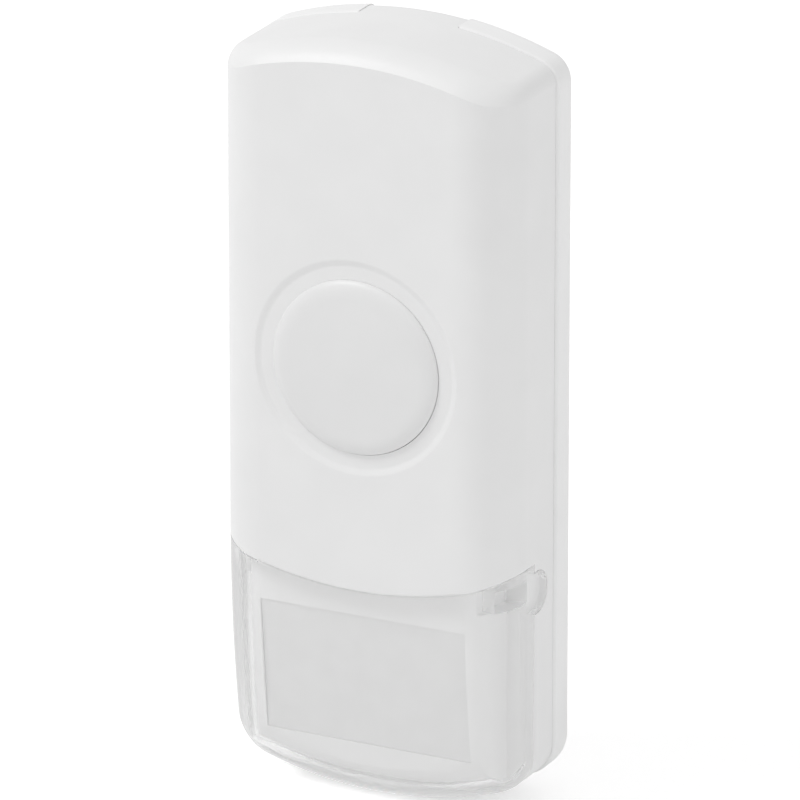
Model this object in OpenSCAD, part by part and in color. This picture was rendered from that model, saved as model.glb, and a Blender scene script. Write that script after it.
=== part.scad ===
// Wall-mounted wireless door button with a clear name window.
// Millimetres. +Z runs up the wall, the face looks along -Y, the wall is the plane y = 0.
// A depth is counted from the plane of the face back towards the wall.

/* [Body] */
// Overall width, over the wall plate
body_w = 37.2; // [36:0.1:42]
// Overall height
body_h = 91; // [89:0.5:98]
// Overall depth, from the wall to the face
body_d = 18; // [17.6:0.1:20]
// Radius of the curved top and bottom ends
end_arc_r = 48; // [45:0.5:60]
// Rounding of the two long front edges
edge_round = 6.5; // [6:0.1:7.5]
// Corner radius at the top, in front view
top_corner_r = 2.6; // [2.4:0.1:4]
// Corner radius at the bottom, in front view
bottom_corner_r = 5; // [4:0.1:6]
// Fillet along the top front edge
top_fillet = 3; // [2.5:0.1:4]
// Fillet along the bottom front edge
bottom_fillet = 5.5; // [4.5:0.1:6.5]
// Radius of the backward bend of the lower face
bend_r = 150; // [130:1:250]
// Height at which the bend starts
bend_z = -15; // [-15.5:0.1:-13]

/* [Wall plate] */
// Depth of the wall plate
plate_d = 4.7; // [4.4:0.1:5.5]
// How far the plate stands proud of the cover all round
plate_lip = 0.3; // [0.1:0.05:0.5]
// Thickness of the plate's floor
plate_floor = 2; // [1.6:0.1:2.4]
// Thickness of the plate's rim
plate_rim = 1.5; // [1.2:0.1:2]
// Chamfer of the rim at the wall
plate_chamfer = 1.1; // [0.5:0.1:1.4]
// Bevel of the rim beside the cover
plate_bevel = 0.4; // [0.2:0.05:0.6]
// Thickness of the ribs that centre the cover
locator_t = 1.2; // [1:0.1:1.5]
// How far those ribs reach into the cover
locator_reach = 1.4; // [1:0.1:1.6]
// Diameter of the two wall screw holes
screw_hole_d = 4; // [3.4:0.1:4.5]
// Diameter of the countersink of the wall screw holes
screw_sink_d = 7; // [6:0.1:7.2]
// Distance between the two wall screw holes
screw_pitch = 56; // [50:1:58]

/* [Front cover] */
// Thickness of the cover's wall
cover_wall = 2; // [1.8:0.1:2.2]
// Gap along the parting line and round the tongue
part_gap = 0.15; // [0.1:0.05:0.3]
// Width of the tongue in the top of the plate's rim
tongue_w = 12.4; // [8:0.1:16]
// Lowest point of the cover's curved lower edge
cover_edge_z = -18.7; // [-19.5:0.1:-18]
// Radius of the cover's curved lower edge
cover_edge_r = 48; // [45:0.5:56]

/* [Name window] */
// Wall of the clear window
window_wall = 1.4; // [1.2:0.05:1.6]
// Depth of the window's rear edge
window_rear = 8.2; // [7.6:0.1:8.6]
// Gap round the window
window_gap = 0.15; // [0.1:0.05:0.25]
// Height of the round tab on each side of the window
tab_h = 4.8; // [4:0.1:5]
// Length of the tab behind the window's rear edge
tab_d = 3.3; // [2.8:0.1:3.6]
// Height of the guide rib inside each side of the window
rib_h = 2.6; // [2:0.1:2.8]
// How far the guide rib reaches into the side of the label's bed
rib_sink = 0.7; // [0.4:0.05:0.9]
// Clearance of ribs and tabs
guide_gap = 0.2; // [0.15:0.05:0.3]

/* [Name label] */
// Room between the window's sides and the bed that carries the label
bed_side = 2; // [1.8:0.1:2.4]
// Wall of the bed
bed_wall = 1.9; // [1.7:0.1:2]
// Corner radius of the bed
bed_round = 2.4; // [2.2:0.1:3]
// Gap between the bed's face and the window
bed_gap = 0.3; // [0.2:0.05:0.5]
// Margin of the bed at each side of the label's recess
label_side = 2.1; // [1.9:0.1:5]
// Height between the label's recess and the lowest point of the cover's edge
label_head = 3.4; // [3:0.1:5]
// Height between the bottom end and the label's recess
label_foot = 7.2; // [6.8:0.1:9]
// Depth of the label's recess
label_recess = 0.7; // [0.6:0.05:0.8]
// Thickness of the label card
card_t = 0.35; // [0.2:0.05:0.4]
// Gap round the label card
card_gap = 0.2; // [0.1:0.05:0.4]

/* [Button] */
// Diameter of the button
button_d = 20; // [18:0.1:20.6]
// Height of the button's middle
button_z = 7.9; // [7.4:0.1:8.2]
// How far the button's crown stands proud of the face
button_proud = 0.95; // [0.8:0.05:1.4]
// Wall of the button
button_wall = 1.4; // [1.2:0.1:1.6]
// Edge radius of the button
button_edge_r = 1.5; // [1:0.1:1.8]
// Radius of the button's crown
button_crown_r = 110; // [80:5:200]
// Travel of the button
button_travel = 0.5; // [0.3:0.05:0.6]
// Gap round the button
button_gap = 0.25; // [0.2:0.05:0.4]
// How far the flange behind the cover stands out from the button
flange_out = 1.4; // [1.2:0.1:1.6]
// Thickness of the flange
flange_t = 1; // [0.8:0.1:1.2]
// Thickness of the rubber seal between flange and cover
seal_t = 0.9; // [0.7:0.05:1]
// Diameter of the shallow dish round the button
dish_d = 24.6; // [23:0.1:26]
// Radius of the dish's hollow
dish_r = 48; // [40:1:60]

/* [Circuit board] */
// Gap between the board and the cover's sides
board_side = 1; // [0.6:0.1:1.4]
// Height of the board's lower edge
board_low = -12.8; // [-13:0.1:-12.4]
// Height of the board's upper edge
board_high = 22.4; // [21.8:0.1:22.6]
// Thickness of the board
board_t = 1.5; // [1.2:0.1:1.6]
// Depth of the board's front face
board_front = 9.5; // [9.3:0.1:9.8]
// Distance of the board screws from the board's side edges
screw_in = 3; // [2.7:0.1:3.3]
// Height of the board screws
screw_z = -9.5; // [-9.8:0.1:-9]
// Distance of the locating pegs from the board's side edges
peg_in = 3.8; // [3.5:0.1:3.9]
// Height of the locating pegs
peg_z = 18.6; // [18.4:0.1:18.8]
// Diameter of the board screws' shank
shank_d = 1.9; // [1.6:0.1:2]
// Diameter of the bosses that carry the board
boss_d = 4.8; // [4.4:0.1:4.8]

/* [Switch] */
// Side of the switch
switch_w = 6; // [5:0.1:6.2]
// Height of the switch on the board
switch_h = 3.5; // [3.2:0.1:3.8]
// Diameter of the switch's plunger
plunger_d = 3.4; // [3:0.1:3.6]
// How far the plunger stands out of the switch
plunger_out = 1.1; // [1:0.05:1.3]

/* [Board parts] */
// Length of the encoder chip
chip_len = 8.7; // [8.4:0.1:9]
// Width of the encoder chip's body
chip_w = 3.9; // [3.7:0.1:4.1]
// Thickness of the encoder chip's body
chip_t = 1.5; // [1.3:0.1:1.7]
// Diameter of the resonator's can
can_d = 8; // [7:0.1:8.4]
// Height of the resonator's can
can_h = 3.4; // [3:0.1:3.6]
// Diameter of the indicator lamp
led_d = 3; // [2.8:0.1:3.2]
// Diameter of the trimmer
trimmer_d = 4.4; // [4:0.1:4.6]
// Width of the antenna loop
loop_w = 20; // [16:0.5:21]
// Height of the antenna loop
loop_h = 12; // [8:0.5:13]

/* [Battery] */
// Diameter of the battery
battery_d = 10.3; // [10:0.1:10.4]
// Length of the battery with its cap
battery_len = 28.5; // [28:0.1:28.6]
// Height of the battery's middle
battery_z = 28.6; // [28.4:0.1:29.2]
// Depth of the battery's middle
battery_depth = 9.3; // [9.2:0.05:9.5]
// Thickness of the contact sheet
contact_t = 0.4; // [0.3:0.05:0.5]

/* [Hidden] */
$fn = 96;
// Overshoot of cuts, so that no two faces coincide
spare = 1;
// How far a rib, boss or collar is sunk into the wall that carries it
root = 0.2;
// The smallest corner radius that an inset leaves
least_r = 0.3;
// The corner circles reach this far past the end arcs, so that the two cross cleanly
corner_over = 0.02;
// The fillet rings and the outline reach this far past the faces that they meet
ring_over = 0.06;

cover_half_w = body_w / 2 - plate_lip;
cover_arc_r = end_arc_r - plate_lip;
arc_z = body_h / 2 - end_arc_r;
cover_back = body_d - plate_d - part_gap;
plate_front = body_d - plate_d;
floor_depth = body_d - plate_floor;
edge_arc_z = cover_edge_z + cover_edge_r;
// The swept forms run on behind the wall and below the bottom end
sweep_over = 6;
sweep_deep = body_d + sweep_over;
bend_angle = asin((body_h / 2 + bend_z + sweep_over) / (bend_r - sweep_deep));

// The bottom fillet touches the bent face from inside
fillet_ring_r = cover_arc_r - bottom_fillet;
fillet_z = -arc_z - fillet_ring_r;
fillet_tilt = asin((bend_z - fillet_z) / (bend_r - bottom_fillet));
fillet_depth = bend_r - (bend_r - bottom_fillet) * cos(fillet_tilt);
// The disc that carries the bottom fillet meets the bent face at this angle
fillet_cross = 12;

bed_front = window_wall + bed_gap;
bed_half_w = cover_half_w - window_wall - bed_side;
bed_cavity_half_w = bed_half_w - bed_wall;
label_w = 2 * (bed_half_w - label_side);
label_top = cover_edge_z - label_head;
label_low = label_foot - body_h / 2;
label_h = label_top - label_low;
label_z = (label_top + label_low) / 2;
label_tilt = asin((bend_z - label_z) / (bend_r - bed_front));
// The bed runs on up behind the cover's edge
bed_over = 10;
tab_z = cover_edge_z;
// The rib's middle lies this far above the tab's
rib_rise = 0.3;
rib_z = tab_z + rib_rise;
rib_x = bed_half_w - rib_sink;
rail_front = window_rear + window_gap;

// Ribs on the wall plate
upper_rib_h = 24;
upper_rib_z = 4;
lower_rib_h = 14;

button_r = button_d / 2;
hole_r = button_r + button_gap;
flange_r = button_r + flange_out;
seal_gap = 0.05;
flange_front = cover_wall + seal_t + 2 * seal_gap;
collar_gap = 0.4;
collar_r = flange_r + collar_gap;
collar_t = 1.2;

cavity_half_w = cover_half_w - cover_wall;
board_w = 2 * (cavity_half_w - board_side);
screw_x = board_w / 2 - screw_in;
peg_x = board_w / 2 - peg_in;
board_back = board_front + board_t;
switch_top = board_front - switch_h;
plunger_top = switch_top - plunger_out;
plate_sheet_t = 0.3;
plunger_gap = 0.1;
plunger_room = 2.2;
press_gap = 0.05;
peg_d = 2;
peg_out = 0.6;
hole_gap = 0.25;
thread_gap = 0.05;
shank_len = 5;
bore_over = 1;

// Places on the board, across and up
led_place = [6.2, button_z];
chip_place = [-6, -4.5];
can_place = [5.5, -5.5];
transistor_place = [10.5, 3];
trimmer_place = [-11, 3.5];
loop_place = [0, -5];
resistor_places = [[-12, -3], [-12, -6], [-7, 1], [-7, 14], [8, 13], [11.5, 10]];
capacitor_places = [[-3.5, 1], [12, -3], [3, 17], [-3, 17], [-12, 10]];
// Outside of the small chips on the board
small_chip = [2, 1.25];
resistor_t = 0.55;
capacitor_t = 0.95;
chip_pitch = 1.27;
chip_side_pins = 7;
pin_w = 0.42;
pin_t = 0.25;
pin_rise = 1;
pin_out = 0.6;
pin_foot = 0.8;

battery_r = battery_d / 2;
battery_cap_len = 1.2;
battery_cap_d = 5;
contact_gap = 0.3;
contact_x = cavity_half_w - contact_gap - contact_t;
battery_plus_x = contact_x - press_gap;
battery_minus_x = battery_plus_x - battery_len;
contact_h = 8;
contact_front = 6.6;
contact_rear = 11.2;
foot_w = 2;
foot_z = 21.2;
foot_x = 13;
strip_d = 2;
saddle_x = 9;
saddle_t = 1.4;
saddle_inset = 0.5;
saddle_rear = 7;
stop_h = 6;
battery_gap = 0.15;

// Depth from the face to a place along Y
function at(depth) = depth - body_d;

// Extrudes an outline in X and Z between two depths
module between(front, rear) {
    translate([0, at(rear), 0]) rotate([90, 0, 0]) linear_extrude(rear - front) children();
}

// A round bar along Y between two depths
module bar_y(r, x, z, front, rear) {
    translate([x, at(front), z]) rotate([-90, 0, 0]) cylinder(r = r, h = rear - front);
}

// A block given by its middle in X and Z and two depths
module block(w, h, x, z, front, rear) {
    translate([x - w / 2, at(front), z - h / 2]) cube([w, rear - front, h]);
}

// Upper half of the front outline: straight sides, a curved end and round corners
module end_half(half_w, arc_r, corner_r) {
    corner_x = half_w - corner_r;
    corner_z = arc_z + sqrt(pow(arc_r - corner_r + corner_over, 2) - pow(corner_x, 2));
    touch_x = corner_x * arc_r / (arc_r - corner_r);
    translate([-half_w, -spare]) square([2 * half_w, corner_z + spare]);
    intersection() {
        translate([0, arc_z]) circle(r = arc_r, $fn = 256);
        translate([-touch_x, -spare]) square([2 * touch_x, body_h]);
    }
    for (side = [-1, 1]) translate([side * corner_x, corner_z]) circle(r = corner_r);
}

// Front outline, drawn in from the wall plate's edge, its straight sides moved out by a little
module outline(inset, side_over = 0) {
    half_w = body_w / 2 - inset + side_over;
    end_half(half_w, end_arc_r - inset, max(top_corner_r - inset, least_r));
    mirror([0, 1]) end_half(half_w, end_arc_r - inset, bottom_corner_r - inset);
}

// Level section in X and depth: a flat front, its edges rounded unless the radius is zero
module level_section(half_w, front, round_r) {
    translate([-half_w, front + round_r]) square([2 * half_w, sweep_deep - front - round_r]);
    if (round_r > 0) {
        translate([round_r - half_w, front]) square([2 * (half_w - round_r), sweep_deep - front]);
        for (side = [-1, 1]) translate([side * (half_w - round_r), front + round_r]) circle(r = round_r);
    }
}

// The level section run straight up
module straight_run(half_w, front, round_r) {
    translate([0, at(0), bend_z]) linear_extrude(body_h) level_section(half_w, front, round_r);
}

// The level section run down round the bend
module bent_run(half_w, front, round_r) {
    translate([0, at(bend_r), bend_z]) rotate([0, 90, 0]) rotate([0, 0, -90])
        rotate_extrude(angle = bend_angle, $fn = 360)
            translate([bend_r, 0]) rotate(90) level_section(half_w, front, round_r);
}

// A disc about a Y axis with a rounded front rim, its front face tilted back by an angle
module end_disc(ring_r, ring_depth, fillet, tilt) {
    touch = [ring_r + fillet * sin(tilt), ring_depth - fillet * cos(tilt)];
    rotate([-90, 0, 0]) rotate_extrude($fn = 256) translate([0, at(0)]) {
        polygon([[0, touch[1] - touch[0] * tan(tilt)], touch, [ring_r, ring_depth],
                 [ring_r + fillet, ring_depth], [ring_r + fillet, sweep_deep], [0, sweep_deep]]);
        translate([ring_r, ring_depth]) circle(r = fillet);
    }
}

// The whole outer form, drawn in by an inset, back to a depth
module form(inset, rear) {
    half_w = cover_half_w - inset;
    round_r = edge_round - inset;
    intersection() {
        straight_run(half_w, inset, round_r);
        between(-spare, rear) outline(plate_lip + inset, ring_over);
        translate([0, 0, arc_z])
            end_disc(cover_arc_r - top_fillet, top_fillet, top_fillet - inset + ring_over, 0);
    }
    lower_form(half_w, inset, round_r, inset, rear);
}

// The part of a form below the start of the bend
module lower_form(half_w, front, round_r, inset, rear) {
    intersection() {
        bent_run(half_w, front, round_r);
        between(-spare, rear) outline(plate_lip + inset, ring_over);
        translate([0, 0, -arc_z])
            end_disc(fillet_ring_r, fillet_depth, bottom_fillet - inset + ring_over,
                     fillet_tilt + fillet_cross);
    }
}

// Cylinder whose lower edge is the curved lower edge of the cover
module edge_round_bar(r) {
    translate([0, at(-spare), edge_arc_z]) rotate([-90, 0, 0])
        cylinder(r = r, h = body_d + 2 * spare, $fn = 256);
}

// Shape of a side tab, in depth and height, extruded along X on both sides
module side_tabs(gap, inner_x, outer_x) {
    for (side = [-1, 1]) translate([side * (inner_x + outer_x) / 2, 0, tab_z])
        rotate([90, 0, 90]) linear_extrude(outer_x - inner_x, center = true) {
            translate([at(window_rear + tab_d - tab_h / 2), 0]) circle(d = tab_h + 2 * gap);
            translate([at(window_rear - spare), -tab_h / 2 - gap])
                square([tab_d - tab_h / 2 + spare, tab_h + 2 * gap]);
        }
}

// A place on the label's tilted plane, at a depth below the face there
module on_label(depth) {
    translate([0, at(bend_r), bend_z]) rotate([label_tilt, 0, 0]) translate([0, depth - bend_r, 0])
        children();
}

// The bed under the window: a narrower block that follows the same bend
module bed(inset, round_r) {
    half_w = bed_half_w - inset;
    front = bed_front + inset;
    lower_form(half_w, front, round_r, front, body_d);
    intersection() {
        straight_run(half_w, front, round_r);
        translate([-half_w - spare, at(0), bend_z])
            cube([2 * (half_w + spare), body_d, bed_over]);
    }
}

// Room for the window, in front of the rail and below the cover's edge
module window_room() {
    difference() {
        translate([-body_w, at(-spare), -body_h]) cube([2 * body_w, rail_front + spare, body_h]);
        edge_round_bar(cover_edge_r);
        bed(0, bed_round);
    }
}

module front_cover() {
    color("whitesmoke") {
        difference() {
            form(0, cover_back);
            window_room();
            // room for the board and the battery
            intersection() {
                form(cover_wall, cover_back + spare);
                edge_round_bar(cover_edge_r - cover_wall);
            }
            // room behind the label bed
            difference() {
                bed(bed_wall, 0);
                edge_round_bar(cover_edge_r + cover_wall);
            }
            on_label(bed_front + label_recess / 2 - spare / 2)
                cube([label_w, label_recess + spare, label_h], center = true);
            for (side = [-1, 1])
                block(body_w, rib_h + 2 * guide_gap, side * (rib_x - guide_gap + body_w / 2), rib_z,
                      0, rail_front);
            side_tabs(guide_gap, cover_half_w - window_wall - guide_gap, cover_half_w + spare);
            bar_y(hole_r, 0, button_z, -spare, cover_wall + spare);
            dish();
        }
        tongue();
        button_collar();
        for (side = [-1, 1]) {
            board_boss(side * screw_x, screw_z, shank_d / 2 + thread_gap);
            board_boss(side * peg_x, peg_z, 0);
            bar_y(peg_d / 2, side * peg_x, peg_z, board_front - spare, board_back + peg_out);
            battery_saddle(side * saddle_x);
        }
    }
}

// Shallow hollow round the button
module dish() {
    dish_depth = dish_r - sqrt(pow(dish_r, 2) - pow(dish_d / 2, 2));
    translate([0, at(dish_depth - dish_r), button_z]) rotate([90, 0, 0]) sphere(r = dish_r, $fn = 256);
}

// Tongue of the top wall that fills the notch in the plate's rim
module tongue() {
    intersection() {
        between(cover_back - spare, body_d - 2 * part_gap) difference() {
            outline(plate_lip);
            outline(plate_lip + cover_wall);
        }
        block(tongue_w, body_h, 0, body_h / 2, 0, body_d);
    }
}

// Collar that guides the button's flange
module button_collar() {
    difference() {
        bar_y(collar_r + collar_t, 0, button_z, cover_wall - root,
              flange_front + flange_t + button_travel);
        bar_y(collar_r, 0, button_z, cover_wall - spare, board_front);
    }
}

// Boss that carries the board
module board_boss(x, z, bore_r) {
    difference() {
        bar_y(boss_d / 2, x, z, cover_wall - root, board_front);
        if (bore_r > 0)
            bar_y(bore_r, x, z, board_front - shank_len - bore_over, board_front + spare);
    }
}

// Rib with a round seat for the battery
module battery_saddle(x) {
    difference() {
        block(saddle_t, battery_d - 2 * saddle_inset, x, battery_z, cover_wall - root, saddle_rear);
        translate([x, at(battery_depth), battery_z]) rotate([0, 90, 0])
            cylinder(r = battery_r + battery_gap, h = 2 * saddle_t, center = true);
    }
}

module back_plate() {
    color("gainsboro") {
        difference() {
            plate_block();
            between(plate_front - spare, floor_depth) outline(plate_lip + plate_rim);
            // notch for the cover's tongue
            intersection() {
                between(plate_front - spare, body_d + spare) difference() {
                    outline(-spare);
                    outline(plate_lip + cover_wall + part_gap);
                }
                block(tongue_w + 2 * part_gap, body_h, 0, body_h / 2, 0, body_d + spare);
            }
            for (end = [-1, 1]) wall_screw_hole(end * screw_pitch / 2);
        }
        locators();
        battery_stops();
    }
}

// Plate with a bevel beside the cover and a chamfer at the wall
module plate_block() {
    intersection() {
        between(plate_front, body_d) outline(0);
        translate([0, at(0), -body_h]) linear_extrude(2 * body_h)
            for (side = [0, 1]) mirror([side, 0]) plate_edge(body_w / 2);
        for (end = [-1, 1]) translate([0, 0, end * arc_z])
            rotate([-90, 0, 0]) rotate_extrude($fn = 256) translate([0, at(0)])
                plate_edge(end_arc_r + ring_over);
    }
}

// Half section of the plate out to a reach
module plate_edge(reach) {
    polygon([[0, plate_front - spare], [reach - plate_bevel - spare, plate_front - spare],
             [reach, plate_front + plate_bevel], [reach, body_d - plate_chamfer],
             [reach - plate_chamfer, body_d], [0, body_d]]);
}

// Countersunk hole for a wall screw
module wall_screw_hole(z) {
    sink = (screw_sink_d - screw_hole_d) / 2;
    bar_y(screw_hole_d / 2, 0, z, plate_front, body_d + spare);
    translate([0, at(floor_depth - spare), z]) rotate([-90, 0, 0])
        cylinder(r1 = screw_sink_d / 2 + spare, r2 = screw_hole_d / 2 - spare / 2,
                 h = sink + 3 * spare / 2);
}

// Ribs that centre the cover on the plate
module locators() {
    upper_x = cavity_half_w - guide_gap - locator_t / 2;
    lower_x = bed_cavity_half_w - guide_gap - locator_t / 2;
    for (side = [-1, 1]) {
        block(locator_t, upper_rib_h, side * upper_x, upper_rib_z,
              plate_front - locator_reach, floor_depth + root);
        block(locator_t, lower_rib_h, side * lower_x, label_z,
              plate_front - locator_reach, floor_depth + root);
    }
}

// Ribs that keep the battery in its seats
module battery_stops() {
    for (side = [-1, 1])
        block(saddle_t, stop_h, side * saddle_x, battery_z,
              battery_depth + battery_r + 2 * battery_gap, floor_depth + root);
}

module name_window() {
    color("aliceblue", 0.5) difference() {
        union() {
            difference() {
                form(0, window_rear);
                form(window_wall, window_rear + spare);
            }
            window_ribs();
            side_tabs(0, cover_half_w - window_wall, cover_half_w);
        }
        edge_round_bar(cover_edge_r + window_gap);
    }
}

// Guide ribs inside the window's sides, sunk half way into its wall
module window_ribs() {
    outer_x = cover_half_w - window_wall / 2;
    for (side = [-1, 1])
        block(outer_x - rib_x, rib_h, side * (outer_x + rib_x) / 2, rib_z,
              edge_round / 2, window_rear - guide_gap);
}

module label_card() {
    color("lightgray") on_label(bed_front + label_recess - card_t / 2)
        cube([label_w - 2 * card_gap, card_t, label_h - 2 * card_gap], center = true);
}

// Half section of the button's outside in radius and depth
module button_outside() {
    top = -button_proud;
    intersection() {
        union() {
            translate([0, top]) square([button_r - button_edge_r, flange_front - top]);
            translate([0, top + button_edge_r]) square([button_r, flange_front - top - button_edge_r]);
            translate([button_r - button_edge_r, top + button_edge_r]) circle(r = button_edge_r);
            translate([0, flange_front]) square([flange_r, flange_t]);
        }
        translate([0, top + button_crown_r]) circle(r = button_crown_r, $fn = 256);
        translate([0, top]) square(2 * button_d);
    }
}

module push_button() {
    post_r = 2.4;
    under = button_wall - button_proud;
    color("white") translate([0, at(0), button_z]) rotate([-90, 0, 0]) rotate_extrude() {
        difference() {
            button_outside();
            translate([-spare, under])
                square([button_r - button_wall + spare, flange_front + flange_t]);
        }
        translate([0, under - root]) square([post_r, plunger_top - press_gap - under + root]);
    }
}

module button_seal() {
    inner_r = hole_r + collar_gap / 2;
    color("dimgray") translate([0, at(cover_wall), button_z]) rotate([-90, 0, 0]) rotate_extrude()
        translate([inner_r, seal_gap]) square([flange_r - inner_r, seal_t]);
}

module circuit_board() {
    color("seagreen") difference() {
        block(board_w, board_high - board_low, 0, (board_high + board_low) / 2, board_front, board_back);
        for (side = [-1, 1]) {
            bar_y(shank_d / 2 + hole_gap, side * screw_x, screw_z, board_front - spare, board_back + spare);
            bar_y(peg_d / 2 + hole_gap, side * peg_x, peg_z, board_front - spare, board_back + spare);
        }
    }
}

module board_screws() {
    head_d = 2 * shank_d;
    head_t = 1.3;
    recess = [2.4, head_t, 0.5];
    color("silver") for (side = [-1, 1]) difference() {
        union() {
            bar_y(shank_d / 2, side * screw_x, screw_z, board_front - shank_len, board_back + root);
            bar_y(head_d / 2, side * screw_x, screw_z, board_back, board_back + head_t);
        }
        for (turn = [0, 90]) translate([side * screw_x, at(board_back + head_t), screw_z])
            rotate([0, turn, 0]) cube(recess, center = true);
    }
}

// Copper loop on the back of the board
module antenna_track() {
    track_w = 1.2;
    track_t = 0.1;
    feed_gap = 3;
    color("peru") between(board_back, board_back + track_t) translate(loop_place) difference() {
        square([loop_w, loop_h], center = true);
        square([loop_w - 2 * track_w, loop_h - 2 * track_w], center = true);
        translate([0, loop_h / 2]) square([feed_gap, 3 * track_w], center = true);
    }
}

module switch_body() {
    color("black") difference() {
        block(switch_w, switch_w, 0, button_z, switch_top + plate_sheet_t, board_front);
        bar_y(plunger_d / 2 + plunger_gap, 0, button_z, switch_top, switch_top + plunger_room);
    }
}

module switch_plate() {
    color("silver") difference() {
        block(switch_w, switch_w, 0, button_z, switch_top, switch_top + plate_sheet_t);
        bar_y(plunger_d / 2 + 2 * plunger_gap, 0, button_z, switch_top - spare, board_front);
    }
}

module switch_plunger() {
    foot_gap = 0.3;
    color("dimgray") bar_y(plunger_d / 2, 0, button_z, plunger_top,
                           switch_top + plunger_room - button_travel - foot_gap);
}

module status_led() {
    rim_out = 0.35;
    rim_t = 0.8;
    straight_h = 2.6;
    color("tomato") translate([led_place[0], at(board_front), led_place[1]]) rotate([90, 0, 0]) {
        cylinder(r = led_d / 2 + rim_out, h = rim_t);
        cylinder(r = led_d / 2, h = straight_h);
        translate([0, 0, straight_h]) sphere(r = led_d / 2);
    }
}

module encoder_chip() {
    lift = 0.2;
    color("black") block(chip_len, chip_w, chip_place[0], chip_place[1],
                         board_front - lift - chip_t, board_front - lift);
}

module chip_pins() {
    first = -(chip_side_pins - 1) / 2;
    color("silver") for (side = [-1, 1], n = [0 : chip_side_pins - 1])
        chip_pin(chip_place[0] + (first + n) * chip_pitch, side);
}

// One bent pin beside the chip: shoulder, leg and foot
module chip_pin(x, side) {
    bend = chip_w / 2 + pin_out;
    block(pin_w, pin_out, x, chip_place[1] + side * (bend - pin_out / 2),
          board_front - pin_rise, board_front - pin_rise + pin_t);
    block(pin_w, pin_t, x, chip_place[1] + side * (bend - pin_t / 2),
          board_front - pin_rise, board_front);
    block(pin_w, pin_foot, x, chip_place[1] + side * (bend - pin_t + pin_foot / 2),
          board_front - pin_t, board_front);
}

module saw_resonator() {
    brim_out = 0.5;
    brim_t = 0.5;
    color("silver") {
        bar_y(can_d / 2 + brim_out, can_place[0], can_place[1], board_front - brim_t, board_front);
        bar_y(can_d / 2, can_place[0], can_place[1], board_front - can_h, board_front - brim_t);
    }
}

module rf_transistor() {
    body_size = [2.9, 1.3];
    lead_size = [0.4, 0.7];
    lead_step = [0.95, 0.9];
    lift = 0.1;
    lead_t = 0.4;
    top = 1.1;
    color("black") block(body_size[0], body_size[1], transistor_place[0], transistor_place[1],
                         board_front - top, board_front - lift);
    color("silver") for (lead = [[-1, -1], [1, -1], [0, 1]])
        block(lead_size[0], lead_size[1],
              transistor_place[0] + lead[0] * lead_step[0],
              transistor_place[1] + lead[1] * lead_step[1],
              board_front - lead_t, board_front);
}

module trim_capacitor() {
    trimmer_h = 2;
    slot = [3, 0.6, 0.6];
    color("ivory") difference() {
        bar_y(trimmer_d / 2, trimmer_place[0], trimmer_place[1], board_front - trimmer_h, board_front);
        block(slot[0], slot[1], trimmer_place[0], trimmer_place[1],
              board_front - trimmer_h - spare, board_front - trimmer_h + slot[2]);
    }
}

// A small chip that lies on the board
module board_chip(place, thick) {
    block(small_chip[0], small_chip[1], place[0], place[1], board_front - thick, board_front);
}

module chip_resistors() {
    color("dimgray") for (place = resistor_places) board_chip(place, resistor_t);
}

module chip_capacitors() {
    color("tan") for (place = capacitor_places) board_chip(place, capacitor_t);
}

// A round bar along X at the battery's place
module battery_bar(d, from, to) {
    translate([from, at(battery_depth), battery_z]) rotate([0, 90, 0]) cylinder(d = d, h = to - from);
}

module battery() {
    color("darkslategray")
        battery_bar(battery_d, battery_minus_x, battery_plus_x - battery_cap_len);
}

module battery_cap() {
    color("gold")
        battery_bar(battery_cap_d, battery_plus_x - battery_cap_len, battery_plus_x);
}

// Upright sheet beside the battery with a foot on the back of the board
module contact_sheet(side) {
    sheet_x = side * (contact_x + contact_t / 2);
    block(contact_t, contact_h, sheet_x, battery_z, contact_front, contact_rear + contact_t);
    block(contact_t, battery_z - foot_z + foot_w / 2, sheet_x, (battery_z + foot_z - foot_w / 2) / 2,
          board_back - strip_d, board_back + contact_t);
    block(contact_x + contact_t - foot_x, foot_w, side * (contact_x + contact_t + foot_x) / 2, foot_z,
          board_back, board_back + contact_t);
}

module contact_plus() {
    color("silver") contact_sheet(1);
}

module contact_minus() {
    reach = contact_x + battery_minus_x - press_gap;
    half_chord = 3.4;
    bow_r = (pow(half_chord, 2) + pow(reach, 2)) / (2 * reach);
    color("silver") {
        contact_sheet(-1);
        intersection() {
            between(contact_front, contact_rear) translate([reach - contact_x - bow_r, battery_z])
                difference() {
                    circle(r = bow_r);
                    circle(r = bow_r - contact_t);
                }
            translate([-contact_x - contact_t / 2, at(0), battery_z - contact_h / 2])
                cube([body_w, body_d, contact_h]);
        }
    }
}

back_plate();
front_cover();
name_window();
label_card();
push_button();
button_seal();
circuit_board();
board_screws();
antenna_track();
switch_body();
switch_plate();
switch_plunger();
status_led();
encoder_chip();
chip_pins();
saw_resonator();
rf_transistor();
trim_capacitor();
chip_resistors();
chip_capacitors();
battery();
battery_cap();
contact_plus();
contact_minus();
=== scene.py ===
import math

import bmesh
import bpy
from mathutils import Matrix, Vector


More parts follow.
